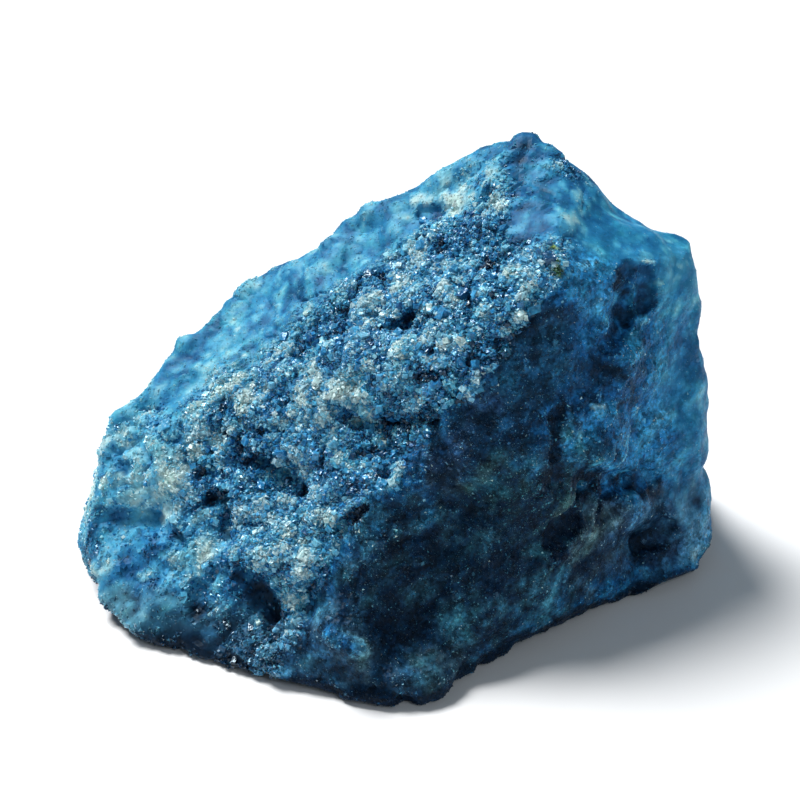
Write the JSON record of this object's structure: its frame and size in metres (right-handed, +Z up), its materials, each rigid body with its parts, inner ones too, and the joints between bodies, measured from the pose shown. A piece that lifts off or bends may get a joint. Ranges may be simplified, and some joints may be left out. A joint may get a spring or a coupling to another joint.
{
  "type": "rock salt crystal",
  "caption": "Rough wedge-shaped lump of blue, sugary-grained rock salt with worn fracture faces, ledges and pits, resting on an uneven natural foot.",
  "frame": {"origin": "centre of the lump's bounding box, at the level the lump rests on", "axes": "+X runs along the lump toward its blunt right end, -Y is the side with the near ridge, +Z is up"},
  "size_m": [0.093, 0.0656, 0.0604],
  "materials": {
    "salt": "sugary, granular, slightly translucent with glinting cleavage faces"
  },
  "bodies": {
    "root": {"rock": "salt"}
  },
  "joints": []
}
